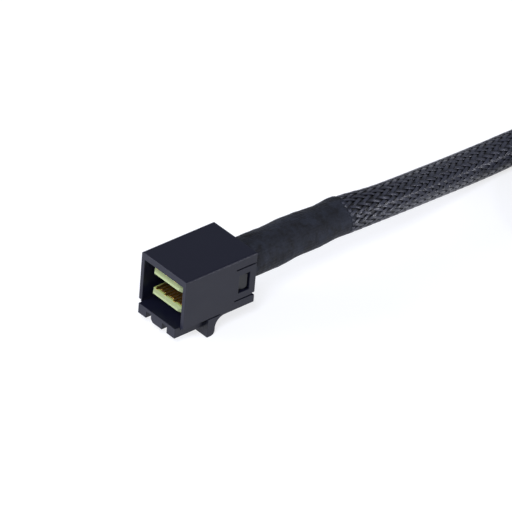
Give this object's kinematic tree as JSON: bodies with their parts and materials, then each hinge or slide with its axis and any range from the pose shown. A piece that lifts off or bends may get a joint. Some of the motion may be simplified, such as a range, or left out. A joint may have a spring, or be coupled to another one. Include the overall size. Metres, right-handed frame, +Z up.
{
  "type": "mini sas hd cable",
  "caption": "Internal server data cable: black plug with a latch arm and paired edge cards, heat-shrink sleeve, braided cord tied in a hank and a matching plug at the far end.",
  "frame": {"origin": "centre of the near plug and its heat-shrink sleeve, on the surface that the finger tab stands on", "axes": "+X from the mating face towards the cord, +Z up through the roof of the shell"},
  "size_m": [0.2097, 0.0531, 0.0133],
  "materials": {
    "shell_plastic": "moulded thermoplastic, fine satin texture",
    "carrier_plastic": "moulded thermoplastic, matte",
    "card_laminate": "yellow-green solder mask over glass laminate",
    "contact_gold": "gold plating, polished",
    "lead_jacket": "wrapped foil and film jacket",
    "shrink_sleeve": "shrunk polyolefin tube, matte",
    "braid": "herringbone braid of black monofilament",
    "tie_plastic": "moulded nylon"
  },
  "bodies": {
    "root": {"plug_shell": "shell_plastic", "wire_carrier": "carrier_plastic", "upper_card": "card_laminate", "lower_card": "card_laminate", "heat_shrink": "shrink_sleeve", "signal_lead_1": "lead_jacket", "signal_lead_2": "lead_jacket", "signal_lead_3": "lead_jacket", "signal_lead_4": "lead_jacket", "signal_lead_5": "lead_jacket", "signal_lead_6": "lead_jacket", "signal_lead_7": "lead_jacket", "signal_lead_8": "lead_jacket", "signal_lead_9": "lead_jacket", "signal_lead_10": "lead_jacket", "signal_lead_11": "lead_jacket", "signal_lead_12": "lead_jacket", "braided_cord": "braid", "cord_hank": "braid", "cable_tie": "tie_plastic", "far_cord": "braid", "far_plug_shell": "shell_plastic", "far_wire_carrier": "carrier_plastic", "far_upper_card": "card_laminate", "far_lower_card": "card_laminate", "far_heat_shrink": "shrink_sleeve", "far_signal_lead_1": "lead_jacket", "far_signal_lead_2": "lead_jacket", "far_signal_lead_3": "lead_jacket", "far_signal_lead_4": "lead_jacket", "far_signal_lead_5": "lead_jacket", "far_signal_lead_6": "lead_jacket", "far_signal_lead_7": "lead_jacket", "far_signal_lead_8": "lead_jacket", "far_signal_lead_9": "lead_jacket", "far_signal_lead_10": "lead_jacket", "far_signal_lead_11": "lead_jacket", "far_signal_lead_12": "lead_jacket"}
  },
  "joints": []
}
